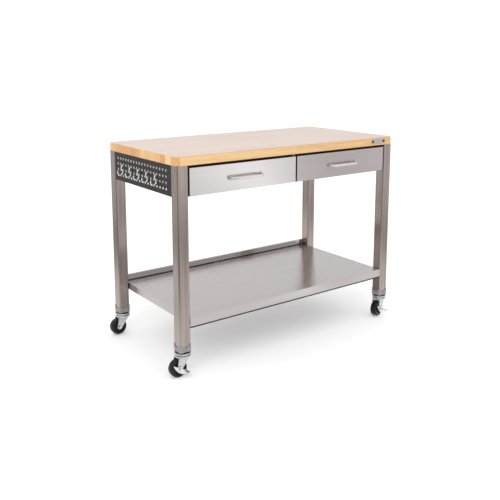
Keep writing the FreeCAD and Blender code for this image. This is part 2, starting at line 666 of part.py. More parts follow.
def brake_lever():
    """A boat-shaped side lever on the axle, its bow raised, with a toe tab at the low end."""
    y0 = FORK_IN + FORK_SHEET + GAP
    axle = V(TRAIL, y0, WHEEL_R)
    bow, stern = axle + V(*LEVER_BOW), axle + V(*LEVER_STERN)
    keel = Part.BSplineCurve()
    keel.interpolate([bow] + [axle + V(x, 0, z) for x, z in LEVER_KEEL] + [stern])
    deck = Part.Arc(stern, axle + V(0, 0, 6.0), bow).toShape()
    plate = Part.Face(Part.Wire([keel.toShape(), deck])).extrude(V(0, LEVER_T, 0))
    eye = Part.makeCylinder(12.5, LEVER_T, axle, V(0, 1, 0))
    tab_z = stern.z
    tab = box(stern.x, stern.x + 12, y0, y0 + LEVER_T + TOE_REACH, tab_z - LEVER_T, tab_z)
    bore = Part.makeCylinder(AXLE_R + RUN_CLEARANCE, LEVER_T, axle, V(0, 1, 0))
    return drill(join([plate, eye, tab]), [bore])


# ---------------------------------------------------------------- output
def save(name, shape):
    if isinstance(shape, list):
        shape = Part.makeCompound(shape)
    for solid in shape.Solids:
        if not solid.isValid():
            raise RuntimeError(name + " has an invalid solid")
    shape.exportStep("parts/" + name + ".step")
    print(f"{name:28s} solids {len(shape.Solids):2d}  volume {shape.Volume:12.1f}")


def save_frame():
    save("wood_top", wood_top())
    for name, sx, sy, heading, has_brake in CASTERS:
        save("leg_" + name, leg(sx, sy))
        save("foot_socket_" + name, foot_socket(sx, sy))
    save("corner_brackets", for_each_leg(corner_bracket))
    save("leg_screws", [leg_screw(sx, sy, z) for sx in (-1, 1) for sy in (-1, 1) for z in LEG_SCREW_Z])
    save("pegboard_left", side_panel(-1))
    save("pegboard_right", side_panel(1))
    save("back_panel", back_panel())
    save("front_rail", front_rail())
    save("centre_divider", centre_divider())
    save("top_screws", [top_screw(*spot) for spot in top_screw_spots()])
    save("name_plate", name_plate())
    save("name_plate_screws", [plate_screw(s) for s in (-1, 1)])


def save_drawers():
    for name, sx in DRAWERS:
        save("drawer_front_" + name, drawer_front(sx))
        save("drawer_box_" + name, drawer_box(sx))
        save("drawer_handle_" + name, drawer_handle(sx))
        save("handle_screws_" + name, handle_screws(sx))
        save("slide_fixed_rails_" + name, slide_pair(sx, fixed_rail))
        save("slide_middle_rails_" + name, slide_pair(sx, middle_rail))
        save("slide_drawer_rails_" + name, slide_pair(sx, drawer_rail))


def save_shelf():
    save("shelf", shelf())
    save("shelf_stiffeners", [shelf_stiffener(y) for y in (-120, 120)])
    save("shelf_bolts", for_each_leg(shelf_bolt))


def save_casters():
    stems = []
    for name, sx, sy, heading, has_brake in CASTERS:
        where = (sx, sy, heading)
        stems.append(place_caster(caster_stem(), *where))
        save("caster_fork_" + name, place_caster(caster_fork(), *where))
        save("caster_tyre_" + name, place_caster(caster_tyre(), *where))
        save("caster_hub_" + name, place_caster(caster_hub(), *where))
        save("caster_axle_" + name, [place_caster(s, *where) for s in axle_set(has_brake)])
        if has_brake:
            save("brake_lever_" + name, place_caster(brake_lever(), *where))
    save("caster_stems", stems)


def main():
    os.makedirs("parts", exist_ok=True)
    save_frame()
    save_drawers()
    save_shelf()
    save_casters()
    for number, column in enumerate(HOOK_COLUMNS, start=1):
        save(f"s_hook_{number}", hook(column))


main()
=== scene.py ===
import json
import math

import bmesh
import bpy
from mathutils import Matrix, Vector


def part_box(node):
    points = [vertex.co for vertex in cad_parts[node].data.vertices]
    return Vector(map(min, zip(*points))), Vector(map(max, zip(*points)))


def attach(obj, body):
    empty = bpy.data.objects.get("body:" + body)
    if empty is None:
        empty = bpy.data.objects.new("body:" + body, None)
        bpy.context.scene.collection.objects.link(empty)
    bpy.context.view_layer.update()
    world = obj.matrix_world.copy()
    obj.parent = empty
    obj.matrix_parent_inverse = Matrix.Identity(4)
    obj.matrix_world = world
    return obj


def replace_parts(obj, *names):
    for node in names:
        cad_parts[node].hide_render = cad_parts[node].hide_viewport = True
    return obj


# Looks of the kitchen island cart. Metres, in the frame of the CAD model: the origin is on the floor
# under the centre of the top, +X is to the right, -Y is the drawer side and +Z is up.

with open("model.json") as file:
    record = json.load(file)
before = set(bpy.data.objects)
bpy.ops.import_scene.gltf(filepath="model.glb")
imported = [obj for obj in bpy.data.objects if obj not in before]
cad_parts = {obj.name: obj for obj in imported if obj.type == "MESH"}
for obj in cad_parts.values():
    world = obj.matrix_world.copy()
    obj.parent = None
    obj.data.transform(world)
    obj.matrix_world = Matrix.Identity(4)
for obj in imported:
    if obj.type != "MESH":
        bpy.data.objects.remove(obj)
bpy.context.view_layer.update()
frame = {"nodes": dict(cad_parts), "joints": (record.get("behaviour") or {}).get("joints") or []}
NODES = frame["nodes"]

CASTERS = ("front_left", "front_right", "rear_left", "rear_right")

# ================================================================ view
CAMERA_AT = Vector((-1.9314, -2.5795, 1.2957))
CAMERA_YAW = 0.6347         # from +Y towards +X
CAMERA_DOWN = 0.1704        # below the horizon
LENS_MM, SENSOR_MM = 49.32, 36.0
SHIFT = -0.15               # lets the camera look down less, so that the uprights lean less


# ================================================================ node graphs
class Graph:
    """Short ways to add nodes to the tree of a material or a world."""

    def __init__(self, owner):
        owner.use_nodes = True
        self.tree = owner.node_tree

    def add(self, kind, inputs=None, **settings):
        node = self.tree.nodes.new(kind)
        for name, value in settings.items():
            setattr(node, name, value)
        for key, value in (inputs or {}).items():
            self.put(node.inputs[key], value)
        return node

    def put(self, socket, value):
        """Link an output to a socket, or set the socket's own value."""
        if isinstance(value, bpy.types.NodeSocket):
            self.tree.links.new(value, socket)
        elif isinstance(value, tuple) and len(value) == 3 and socket.type == "RGBA":
            socket.default_value = (*value, 1.0)
        else:
            socket.default_value = value

    def noise(self, vector, scale=1.0, detail=2.0, roughness=0.5, distortion=0.0):
        values = {"Vector": vector, "Scale": scale, "Detail": detail, "Roughness": roughness,
                  "Distortion": distortion}
        return self.add("ShaderNodeTexNoise", values).outputs[0]

    def math(self, operation, a, b=0.0):
        return self.add("ShaderNodeMath", {0: a, 1: b}, operation=operation).outputs[0]

    def remap(self, value, low, high, to_low, to_high):
        values = {"Value": value, "From Min": low, "From Max": high, "To Min": to_low, "To Max": to_high}
        return self.add("ShaderNodeMapRange", values).outputs[0]

    def axes(self, vector):
        """The three numbers of a vector."""
        return self.add("ShaderNodeSeparateXYZ", {0: vector}).outputs

    def vector(self, x, y, z):
        return self.add("ShaderNodeCombineXYZ", {0: x, 1: y, 2: z}).outputs[0]

    def random(self, vector):
        """A number from 0 to 1 that is the same all over one cell."""
        return self.add("ShaderNodeTexWhiteNoise", {"Vector": vector}, noise_dimensions="3D").outputs[0]

    def ramp(self, value, stops):
        """A colour ramp from (place, colour) stops."""
        node = self.add("ShaderNodeValToRGB", {0: value})
        elements = node.color_ramp.elements
        while len(elements) < len(stops):
            elements.new(0.5)
        for element, (place, colour) in zip(elements, stops):
            element.position = place
            element.color = (*colour, 1.0)
        return node.outputs[0]

    def mix(self, share, a, b, blend="MIX"):
        """Two colours, or colour outputs, mixed by a share."""
        node = self.add("ShaderNodeMix", data_type="RGBA", blend_type=blend)
        self.put(node.inputs[0], share)
        self.put(node.inputs[6], a)
        self.put(node.inputs[7], b)
        return node.outputs[2]

    def gap_shade_share(self, distance, low=0.25, high=0.8):
        """From 1 on open faces down to 0 in gaps and folds narrower than the distance; the materials paint
        shade where it is low.
        """
        openness = self.add("ShaderNodeAmbientOcclusion", {"Distance": distance}, samples=6).outputs["AO"]
        return self.remap(openness, low, high, 0.0, 1.0)

    def bump(self, height, distance, strength=1.0, normal=None):
        values = {"Height": height, "Distance": distance, "Strength": strength}
        if normal is not None:
            values["Normal"] = normal
        return self.add("ShaderNodeBump", values).outputs[0]


class Surface(Graph):
    """The graph of one new material, with its shader and the piece's own coordinates."""

    def __init__(self, name):
        self.material = bpy.data.materials.new(name)
        super().__init__(self.material)
        self.shader = self.tree.nodes["Principled BSDF"]
        self.position = self.add("ShaderNodeTexCoord").outputs["Object"]

    def set(self, **sockets):
        """Set the shader's sockets; an underscore stands for a space."""
        for name, value in sockets.items():
            self.put(self.shader.inputs[name.replace("_", " ")], value)

    def stretched(self, scale, source=None):
        """Coordinates scaled by a number for each axis."""
        return self.add("ShaderNodeMapping", {"Vector": source or self.position, "Scale": scale}).outputs[0]


def shaded(colour, share):
    """A colour with each channel times a share, and no brighter than white."""
    return tuple(min(1.0, c * share) for c in colour)


# ================================================================ materials
GRAIN_SCALE = {"X": (1.0, 40.0, 40.0), "Z": (40.0, 40.0, 1.0)}
ROLL_SCALE = (16.0, 190.0, 1.0)     # long shallow waves from rolling the sheet


def brushed_steel(name, colour, grain, roughness=0.28, tone=0.06, ripple=0.0, lines=0.10, depth=0.016):
    """Steel scratched along one axis: fine lines, broader streaks, slow changes of gloss and painted shade in
    gaps.
    """
    g = Surface(name)
    along = GRAIN_SCALE[grain]
    fine = g.noise(g.stretched(along), scale=24.0, detail=3.0, roughness=0.65)
    streaks = g.noise(g.stretched(along), scale=2.6, detail=2.0)
    clouds = g.noise(g.position, scale=4.0, detail=2.0)
    tint = g.mix(g.remap(streaks, 0.3, 0.7, 0.0, 1.0), shaded(colour, 1.0 - tone), shaded(colour, 1.0 + tone))
    tint = g.mix(g.remap(fine, 0.35, 0.75, 0.0, 0.5), tint, shaded(colour, 1.0 - lines))
    # painted shade: gaps and folds darken to near black
    tint = g.mix(g.gap_shade_share(depth), shaded(colour, 0.06), tint)
    rough = g.remap(g.math("ADD", g.math("MULTIPLY", fine, 0.5), g.math("MULTIPLY", clouds, 0.5)),
                    0.3, 0.7, roughness * 0.82, roughness * 1.2)
    normal = g.bump(fine, 0.00006, 3.0 * lines)
    if ripple:
        rolls = g.noise(g.stretched(ROLL_SCALE), scale=1.0, detail=1.0)
        normal = g.bump(rolls, ripple, 1.0, normal)
    tangent = g.add("ShaderNodeTangent", direction_type="RADIAL", axis="X" if grain != "Z" else "Z")
    g.set(Base_Color=tint, Metallic=1.0, Roughness=rough, Normal=normal, Anisotropic=0.55)
    g.put(g.shader.inputs["Tangent"], tangent.outputs[0])
    return g.material


def zinc(name, colour, roughness=0.3, spangle=0.05, metallic=1.0, depth=0.004):
    """Plated steel: a soft sheen with faint crystal patches, small dents and painted shade in gaps."""
    g = Surface(name)
    patches = g.add("ShaderNodeTexVoronoi", {"Vector": g.position, "Scale": 160.0}).outputs["Color"]
    patch = g.axes(patches)[0]
    dust = g.noise(g.position, scale=420.0, detail=2.0)
    spangled = g.mix(patch, shaded(colour, 1.0 - spangle), shaded(colour, 1.0 + spangle))
    # painted shade: gaps and folds darken to near black
    tint = g.mix(g.gap_shade_share(depth), shaded(colour, 0.08), spangled)
    rough = g.remap(dust, 0.3, 0.7, roughness * 0.8, roughness * 1.25)
    g.set(Base_Color=tint, Metallic=metallic, Roughness=rough, Normal=g.bump(dust, 0.00004, 0.4))
    return g.material


STAVE_W = 0.0435            # width of a glued stave
STAVE_L = 0.42              # length between butt joints
SIDE_TONES = ((0.50, 0.235, 0.085), (0.62, 0.33, 0.13), (0.72, 0.44, 0.19), (0.76, 0.50, 0.22),
              (0.80, 0.56, 0.27))
# stave tones of the upper face, with a painted sheen that makes them paler
TOP_TONES_WITH_SHEEN = ((0.65, 0.50, 0.425), (0.67, 0.52, 0.45), (0.69, 0.54, 0.47), (0.705, 0.56, 0.485))
END_TONES = ((0.46, 0.185, 0.055), (0.78, 0.50, 0.21), (0.58, 0.26, 0.085), (0.84, 0.62, 0.28),
             (0.66, 0.33, 0.12))
SEAM_Y, SEAM_X = 0.016, 0.0016     # glue lines, as a share of a stave's width and length
RINGS_Z = 0.80              # the middles of the growth rings lie under the top
RING_RATE = 950.0           # radians of the rings' wave to a metre of radius


def spread(tones):
    """Ramp stops at even steps."""
    return [(k / (len(tones) - 1), tone) for k, tone in enumerate(tones)]


def butcher_block():
    """Glued staves that run along X, with grain, end grain and fine glue lines."""
    g = Surface("butcher_block")
    x, y, z = g.axes(g.position)[:3]
    row = g.math("FLOOR", g.math("DIVIDE", y, STAVE_W))
    shift = g.random(g.vector(row, 3.0, 0.0))
    along = g.math("ADD", g.math("DIVIDE", x, STAVE_L), g.math("MULTIPLY", shift, 7.0))
    piece = g.math("FLOOR", along)
    seed = g.random(g.vector(row, piece, 1.0))
    seed_two = g.random(g.vector(row, piece, 5.0))

    # every stave gets its own stretch of grain
    offset = g.vector(seed, g.math("MULTIPLY", seed_two, 3.0), seed)
    moved = g.add("ShaderNodeVectorMath", {0: g.position, 1: offset}, operation="ADD").outputs[0]
    grain = g.noise(g.stretched((3.0, 60.0, 60.0), moved), scale=1.6, detail=4.0, roughness=0.6,
                    distortion=0.6)
    pores = g.noise(g.stretched((14.0, 420.0, 420.0), moved), scale=1.0, detail=2.0)
    figure = g.noise(g.stretched((1.4, 9.0, 9.0), moved), scale=2.0, detail=2.0)

    side = g.ramp(seed, spread(SIDE_TONES))
    side = g.mix(g.remap(grain, 0.42, 0.72, 0.0, 0.5), side, (0.50, 0.24, 0.09))
    side = g.mix(g.remap(pores, 0.55, 0.8, 0.0, 0.3), side, (0.38, 0.18, 0.08))

    top = g.ramp(seed, spread(TOP_TONES_WITH_SHEEN))
    top = g.mix(g.remap(figure, 0.35, 0.7, 0.0, 0.25), top, (0.55, 0.42, 0.355))
    top = g.mix(g.remap(grain, 0.45, 0.75, 0.0, 0.25), top, (0.50, 0.365, 0.30))

    # growth rings round a point of its own under every block of end grain
    centre_y = g.math("ADD", g.math("MULTIPLY", row, STAVE_W), g.math("MULTIPLY", seed, 0.06))
    centre_z = g.math("ADD", RINGS_Z, g.math("MULTIPLY", seed_two, 0.05))
    spot = g.vector(0.0, g.math("SUBTRACT", y, centre_y), g.math("SUBTRACT", z, centre_z))
    reach = g.add("ShaderNodeVectorMath", {0: spot}, operation="LENGTH").outputs["Value"]
    bent = g.math("ADD", g.math("MULTIPLY", reach, RING_RATE), g.math("MULTIPLY", grain, 5.0))
    rings = g.remap(g.math("SINE", bent), -1.0, 1.0, 0.0, 0.45)
    end = g.ramp(g.remap(seed_two, 0.1, 0.9, 0.0, 1.0), spread(END_TONES))
    end = g.mix(rings, end, (0.48, 0.22, 0.08))

    face = g.axes(g.add("ShaderNodeNewGeometry").outputs["Normal"])
    is_end = g.remap(g.math("ABSOLUTE", face[0]), 0.6, 0.85, 0.0, 1.0)
    # painted sheen: the upper face is painted paler and less yellow than the sides
    top_sheen_share = g.remap(face[2], 0.55, 0.97, 0.0, 1.0)
    colour = g.mix(top_sheen_share, g.mix(is_end, side, end), top)

    across = g.math("FRACT", g.math("DIVIDE", y, STAVE_W))
    line_y = g.math("MINIMUM", across, g.math("SUBTRACT", 1.0, across))
    ends = g.math("FRACT", along)
    line_x = g.math("MINIMUM", ends, g.math("SUBTRACT", 1.0, ends))
    seam = g.math("MAXIMUM", g.remap(line_y, 0.0, SEAM_Y, 1.0, 0.0), g.remap(line_x, 0.0, SEAM_X, 1.0, 0.0))
    colour = g.mix(g.math("MULTIPLY", seam, 0.3), colour, (0.42, 0.24, 0.12))

    rough = g.remap(grain, 0.3, 0.7, 0.34, 0.46)
    height = g.math("SUBTRACT", g.math("MULTIPLY", grain, 0.6), g.math("MULTIPLY", seam, 0.5))
    g.set(Base_Color=colour, Roughness=rough, Normal=g.bump(height, 0.00022, 0.5), Coat_Weight=0.3,
          Coat_Roughness=0.22)
    return g.material


def powder_coat():
    """Black paint with a fine orange-peel skin and a little dust; on the corner brackets and front rail it is
    painted shade.
    """
    g = Surface("black_powder_coat_and_gap_shade")
    peel = g.noise(g.position, scale=900.0, detail=2.0)
    cloud = g.noise(g.position, scale=26.0, detail=4.0, roughness=0.7)
    colour = g.mix(g.remap(cloud, 0.35, 0.7, 0.0, 1.0), (0.016, 0.0125, 0.011), (0.029, 0.024, 0.021))
    g.set(Base_Color=colour, Roughness=g.remap(cloud, 0.3, 0.7, 0.42, 0.58),
          Normal=g.bump(peel, 0.00008, 0.5), Specular_IOR_Level=0.35)
    return g.material


def socket_plastic():
    """Grey moulded plastic with a fine spark-eroded skin."""
    g = Surface("socket_plastic")
    skin = g.noise(g.position, scale=1400.0, detail=2.0)
    cloud = g.noise(g.position, scale=60.0, detail=2.0)
    colour = g.mix(cloud, (0.20, 0.19, 0.185), (0.29, 0.278, 0.272))
    g.set(Base_Color=colour, Roughness=g.remap(skin, 0.3, 0.7, 0.38, 0.52), Normal=g.bump(skin, 0.00006, 0.5))
    return g.material


def black_rubber(name, gloss):
    """Hard black tyre or hub plastic, a little dusty."""
    g = Surface(name)
    skin = g.noise(g.position, scale=700.0, detail=3.0)
    dust = g.noise(g.position, scale=45.0, detail=4.0, roughness=0.65)
    colour = g.mix(g.remap(dust, 0.45, 0.75, 0.0, 0.6), (0.004, 0.004, 0.005), (0.016, 0.015, 0.015))
    rough = g.remap(dust, 0.3, 0.75, gloss, gloss * 1.6)
    g.set(Base_Color=colour, Roughness=rough, Normal=g.bump(skin, 0.00005, 0.4), Specular_IOR_Level=0.3)
    return g.material


def black_oxide():
    """Dark screws with worn, slightly brown metal."""
    g = Surface("black_oxide")
    wear = g.noise(g.position, scale=900.0, detail=3.0)
    colour = g.mix(g.remap(wear, 0.45, 0.7, 0.0, 1.0), (0.016, 0.012, 0.010), (0.045, 0.032, 0.026))
    g.set(Base_Color=colour, Metallic=0.6, Roughness=g.remap(wear, 0.3, 0.7, 0.35, 0.55))
    return g.material


def front_steel(name, colour):
    """The smoother steel of the drawer fronts."""
    return brushed_steel(name, colour, "X", roughness=0.20, tone=0.02, lines=0.04)


def make_materials():
    return {
        "wood": butcher_block(),
        "legs": brushed_steel("leg_steel", (0.41, 0.345, 0.32), "Z", roughness=0.22, tone=0.17),
        "panels": brushed_steel("panel_steel", (0.52, 0.49, 0.475), "X", roughness=0.30),
        # painted light and shade: both drawer fronts are one steel, painted lighter on the left and darker on
        # the right
        "front_left": front_steel("front_steel_painted_lighter", (0.68, 0.655, 0.645)),
        "front_right": front_steel("front_steel_painted_darker", (0.56, 0.51, 0.505)),
        "shelf": brushed_steel("shelf_steel", (0.53, 0.495, 0.487), "X", roughness=0.16, tone=0.03,
                               ripple=0.0008, lines=0.06, depth=0.006),
        "plate": brushed_steel("plate_steel", (0.60, 0.56, 0.57), "X", roughness=0.30),
        "handle": brushed_steel("handle_steel", (0.82, 0.80, 0.79), "X", roughness=0.26, tone=0.03,
                                lines=0.05),
        "zinc": zinc("zinc_sheet", (0.60, 0.60, 0.61)),
        "fork": zinc("fork_zinc", (0.62, 0.625, 0.63), roughness=0.28, spangle=0.06),
        "bright": zinc("bright_zinc", (0.76, 0.76, 0.765), roughness=0.24, spangle=0.04),
        "screw": zinc("screw_steel", (0.62, 0.61, 0.60)),
        "hook": zinc("hook_steel", (0.96, 0.95, 0.95), roughness=0.28, spangle=0.02, metallic=0.7),
        "coat": powder_coat(),
        "socket": socket_plastic(),
        "tyre": black_rubber("tyre_rubber", 0.26),
        "hub": black_rubber("hub_plastic", 0.32),
        "oxide": black_oxide(),
    }


# the first start that fits a node's name gives its material
MATERIAL_OF = (
    ("wood_top", "wood"), ("leg_screws", "screw"), ("leg_", "legs"), ("foot_socket_", "socket"),
    # painted shade: the corner brackets and front rail take the black coat so that the gaps round the drawers
    # look dark
    ("corner_brackets", "coat"), ("pegboard_", "coat"), ("back_panel", "panels"), ("front_rail", "coat"),
    ("centre_divider", "zinc"), ("top_screws", "screw"), ("name_plate_screws", "oxide"),
    ("name_plate", "plate"), ("drawer_front_left", "front_left"), ("drawer_front_right", "front_right"),
    ("drawer_box_", "zinc"), ("drawer_handle_", "handle"), ("handle_screws_", "screw"),
    ("slide_", "zinc"), ("shelf_stiffeners", "zinc"), ("shelf_bolts", "screw"), ("shelf", "shelf"),
    ("caster_fork_", "fork"), ("caster_tyre_", "tyre"), ("caster_hub_", "hub"), ("caster_axle_", "bright"),
    ("caster_stems", "fork"), ("brake_lever_", "bright"), ("s_hook_", "hook"),
)


def paint_frame(materials):
    """Give every CAD node its material."""
    for name, node in NODES.items():
        kind = next(kind for start, kind in MATERIAL_OF if name.startswith(start))
        for slot in node.material_slots:
            slot.material = materials[kind]


# ================================================================ mesh helpers
def new_piece(name, verts, faces, material, body):
    """A mesh piece that rides on a body."""
    mesh = bpy.data.meshes.new(name)
    mesh.from_pydata([tuple(v) for v in verts], [], faces)
    mesh.validate()
    clean = bmesh.new()
    clean.from_mesh(mesh)
    bmesh.ops.recalc_face_normals(clean, faces=clean.faces)
    clean.to_mesh(mesh)
    clean.free()
    piece = bpy.data.objects.new(name, mesh)
    bpy.context.scene.collection.objects.link(piece)
    mesh.materials.append(material)
    smooth(piece)
    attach(piece, body)
    return piece


def smooth(piece, sharp_degrees=35.0):
    """Smooth shading that stays crisp at real edges."""
    mesh = piece.data
    mesh.shade_smooth()
    work = bmesh.new()
    work.from_mesh(mesh)
    for edge in work.edges:
        if len(edge.link_faces) == 2 and edge.calc_face_angle() > math.radians(sharp_degrees):
            edge.smooth = False
    work.to_mesh(mesh)
    work.free()


class Solid:
    """Vertices and faces that are gathered before they become one piece."""

    def __init__(self):
        self.verts = []
        self.faces = []

    def loop(self, points):
        start = len(self.verts)
        self.verts += [Vector(p) for p in points]
        return list(range(start, len(self.verts)))

    def bridge(self, a, b):
        """Quads between two closed loops of the same length."""
        for i in range(len(a)):
            j = (i + 1) % len(a)
            self.faces.append((a[i], a[j], b[j], b[i]))

    def cap(self, loop):
        self.faces.append(tuple(loop))

    def lathe(self, profile, place, steps):
        """A closed (radius, height) profile turned round the local Z of a placing matrix."""
        rings = []
        for radius, height in profile:
            turns = [2.0 * math.pi * k / steps for k in range(steps)]
            rings.append(self.loop([place @ Vector((radius * math.cos(a), radius * math.sin(a), height))
                                    for a in turns]))
        for a, b in zip(rings, rings[1:] + rings[:1]):
            self.bridge(a, b)


# ================================================================ casters
MM = 0.001
ROUND_STEPS = 96            # faces round a wheel or a race
WHEEL_R = 0.0381
TRAIL = 0.025
FORK_HALF = 0.021           # outer face of a fork arm from the middle
FORK_SHEET = 0.0025
CROWN_Z, CROWN_SHEET = 0.0805, 0.0026
CROWN_X = (-0.018, 0.029)
ARM_X = (-0.020, 0.029)     # the arms' width where they join the crown
ARM_LAP = 0.001             # how far they reach up into it
ARM_END_R = 0.0115
ARM_END_STEPS, ARM_TOP_STEPS = 14, 5
ARM_RIM = ((0.0, 0.0007), (0.0007, 0.0), (0.0032, 0.0), (0.0046, 0.0013))     # inwards, below the face
HUB_RIBS = 6
RIB_LENGTH, RIB_HALF, RIB_DEPTH = (0.0085, 0.0200), 0.0011, (0.0080, 0.0105)
# half profiles as (radius, distance from the middle), and the race's as (radius, height), in millimetres
TYRE_PROFILE = ((26.0, 13.0), (27.2, 15.0), (29.5, 15.6), (31.0, 16.0), (33.4, 15.7), (35.6, 14.4),
                (37.0, 12.2), (37.6, 9.5), (37.9, 5.0), (38.1, 1.2), (37.6, 0.5))
HUB_PROFILE = ((4.1, 18.0), (7.6, 18.0), (8.6, 17.2), (9.0, 10.0), (12.0, 8.6), (19.0, 8.4), (20.4, 9.6),
               (21.4, 12.2), (23.6, 13.2), (25.9, 13.0))
RACE_PROFILE = ((7.3, 82.6), (28.0, 82.6), (31.2, 83.3), (33.0, 84.9), (33.5, 87.0), (33.4, 90.0),
                (32.5, 91.9), (30.8, 92.6), (7.3, 92.6))


def caster_place(name):
    """The matrix from a caster's own frame, its wheel behind the swivel on +X, to the cart."""
    joints = {joint["name"]: joint for joint in frame["joints"]}
    pivot = Vector(joints[f"caster_{name}_swivel"]["pos_m"])
    axle = Vector(joints[f"wheel_{name}_spin"]["pos_m"])
    heading = math.atan2(axle.y - pivot.y, axle.x - pivot.x)
    return Matrix.Translation((pivot.x, pivot.y, 0.0)) @ Matrix.Rotation(heading, 4, "Z")


def both_sides(profile):
    """A half profile and its mirror image, as one closed profile in metres."""
    return [(r * MM, h * MM) for r, h in profile] + [(r * MM, -h * MM) for r, h in reversed(profile)]


def make_wheel(name, materials):
    centre = Matrix.Translation((TRAIL, 0.0, WHEEL_R))
    axle = caster_place(name) @ centre @ Matrix.Rotation(math.pi / 2, 4, "X")
    tyre, hub = Solid(), Solid()
    tyre.lathe(both_sides(TYRE_PROFILE), axle, ROUND_STEPS)
    hub.lathe(both_sides(HUB_PROFILE), axle, ROUND_STEPS)
    for side in (-1, 1):
        for k in range(HUB_RIBS):
            rib = Matrix.Rotation(2.0 * math.pi * k / HUB_RIBS, 4, "Z")
            add_bar(hub, axle @ rib, RIB_LENGTH, (-RIB_HALF, RIB_HALF), [side * z for z in RIB_DEPTH])
    body = "wheel_" + name
    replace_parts(new_piece("tyre_" + name, tyre.verts, tyre.faces, materials["tyre"], body),
                "caster_tyre_" + name)
    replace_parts(new_piece("hub_" + name, hub.verts, hub.faces, materials["hub"], body),
                "caster_hub_" + name)


def add_bar(solid, place, xs, ys, zs):
    """A small six-sided bar between pairs of limits."""
    corners = [(xs[i], ys[j], zs[k]) for k in (0, 1) for i, j in ((0, 0), (1, 0), (1, 1), (0, 1))]
    loop = solid.loop([place @ Vector(c) for c in corners])
    low, high = loop[:4], loop[4:]
    solid.bridge(low, high)
    solid.cap(low)
    solid.cap(high)


def arm_outline():
    """The side view of a fork arm: (x, z) points from the crown down round the axle and up again."""
    axle = Vector((TRAIL, WHEEL_R))
    top_z = CROWN_Z + ARM_LAP

    def tangent(top, turn):
        reach = top - axle
        return math.atan2(reach.y, reach.x) + turn * math.acos(ARM_END_R / reach.length)

    front, back = [Vector((x, top_z)) for x in ARM_X]
    start, stop = tangent(back, -1), tangent(front, 1) - 2.0 * math.pi
    arc = [start + (stop - start) * k / ARM_END_STEPS for k in range(ARM_END_STEPS + 1)]
    curve = [axle + ARM_END_R * Vector((math.cos(a), math.sin(a))) for a in arc]
    steps = [front.lerp(back, k / ARM_TOP_STEPS) for k in range(1, ARM_TOP_STEPS)]
    return [back] + curve + [front] + steps


def inset(outline, distance):
    """A convex outline moved inwards by a distance."""
    middle = sum(outline, Vector((0.0, 0.0))) / len(outline)
    moved = []
    count = len(outline)
    for k, point in enumerate(outline):
        before, after = outline[k - 1], outline[(k + 1) % count]
        normals = []
        for a, b in ((before, point), (point, after)):
            step = (b - a).normalized()
            normal = Vector((-step.y, step.x))
            normals.append(normal if normal.dot(middle - point) > 0 else -normal)
        bisector = (normals[0] + normals[1]).normalized()
        moved.append(point + bisector * (distance / max(0.35, bisector.dot(normals[0]))))
    return moved


def make_fork(name, materials):
    """Raceway, crown and two pressed arms with raised rims."""
    place = caster_place(name)
    fork = Solid()
    fork.lathe([(r * MM, h * MM) for r, h in RACE_PROFILE], place, ROUND_STEPS)
    add_bar(fork, place, CROWN_X, (-FORK_HALF, FORK_HALF), (CROWN_Z, CROWN_Z + CROWN_SHEET))
    outline = arm_outline()
    for side in (-1, 1):
        inner_y, outer_y = side * (FORK_HALF - FORK_SHEET), side * FORK_HALF
        steps = [(0.0, inner_y)] + [(distance, outer_y - side * depth) for distance, depth in ARM_RIM]
        loops = [fork.loop([place @ Vector((p.x, y, p.y)) for p in inset(outline, distance)])
                 for distance, y in steps]
        for a, b in zip(loops, loops[1:]):
            fork.bridge(a, b)
        fork.cap(loops[0])
        fork.cap(loops[-1])
    piece = new_piece("fork_" + name, fork.verts, fork.faces, materials["fork"], "caster_" + name)
    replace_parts(piece, "caster_fork_" + name)


# ================================================================ small parts
PEG_PITCH = 0.0254
PEG_COLUMNS, PEG_ROWS = 18, 4
PEG_STEPS = 16
HOOK_COLUMN, HOOK_ROW = 2, 1        # the hole that the first hook hangs in, counted from 0
PEG_RIM = ((0.0031, -0.0011), (0.0034, 0.0003), (0.0042, 0.0005), (0.0049, 0.0001), (0.0049, -0.0002),
           (0.0040, -0.0003), (0.0039, -0.0012))      # (radius, height above the panel)
DARK_STRIP_SECTION = ((-0.0008, -0.0034), (-0.0014, -0.0028), (-0.0014, 0.0010), (-0.0006, 0.0017),
                (0.0016, 0.0017), (0.0016, -0.0034))  # (y, z) from the flange's lower front edge
DARK_STRIP_SHORT = 0.0005                 # it stops short of each end of the shelf


def make_peg_rims(materials):
    """Bright, slightly raised rims round the holes of both side panels."""
    joint = next(joint for joint in frame["joints"] if joint["name"] == "hook_1_swing")
    hook_y, hook_z = joint["pos_m"][1], joint["pos_m"][2]
    for name, side in (("left", -1), ("right", 1)):
        low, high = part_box("pegboard_" + name)
        face = low[0] if side < 0 else high[0]
        rims = Solid()
        for column in range(PEG_COLUMNS):
            for row in range(PEG_ROWS):
                y = hook_y + PEG_PITCH * (HOOK_COLUMN - column)
                z = hook_z + PEG_PITCH * (HOOK_ROW - row)
                place = Matrix.Translation((face, y, z)) @ Matrix.Rotation(side * math.pi / 2, 4, "Y")
                rims.lathe(PEG_RIM, place, PEG_STEPS)
        new_piece("peg_rims_" + name, rims.verts, rims.faces, materials["hook"], "frame")


def make_shelf_dark_strip(materials):
    """A thin black strip along the lower edge of the shelf's front flange, which draws the dark line along
    that edge.
    """
    low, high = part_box("shelf")
    section = [(low[1] + y, low[2] + z) for y, z in DARK_STRIP_SECTION]
    dark_strip = Solid()
    loops = [dark_strip.loop([(x, *point) for point in section])
             for x in (low[0] + DARK_STRIP_SHORT, high[0] - DARK_STRIP_SHORT)]
    dark_strip.bridge(loops[0], loops[1])
    for loop in loops:
        dark_strip.cap(loop)
    new_piece("shelf_edge_dark_strip", dark_strip.verts, dark_strip.faces, materials["tyre"], "frame")


# ================================================================ stage
LAMP_AIM = Vector((0.0, 0.0, 0.5))
FLOOR_SIZE, FLOOR_Z = 90.0, -0.0005
CARD_R, CARD_Z = 40.0, -0.001       # a second floor, which only reflections see
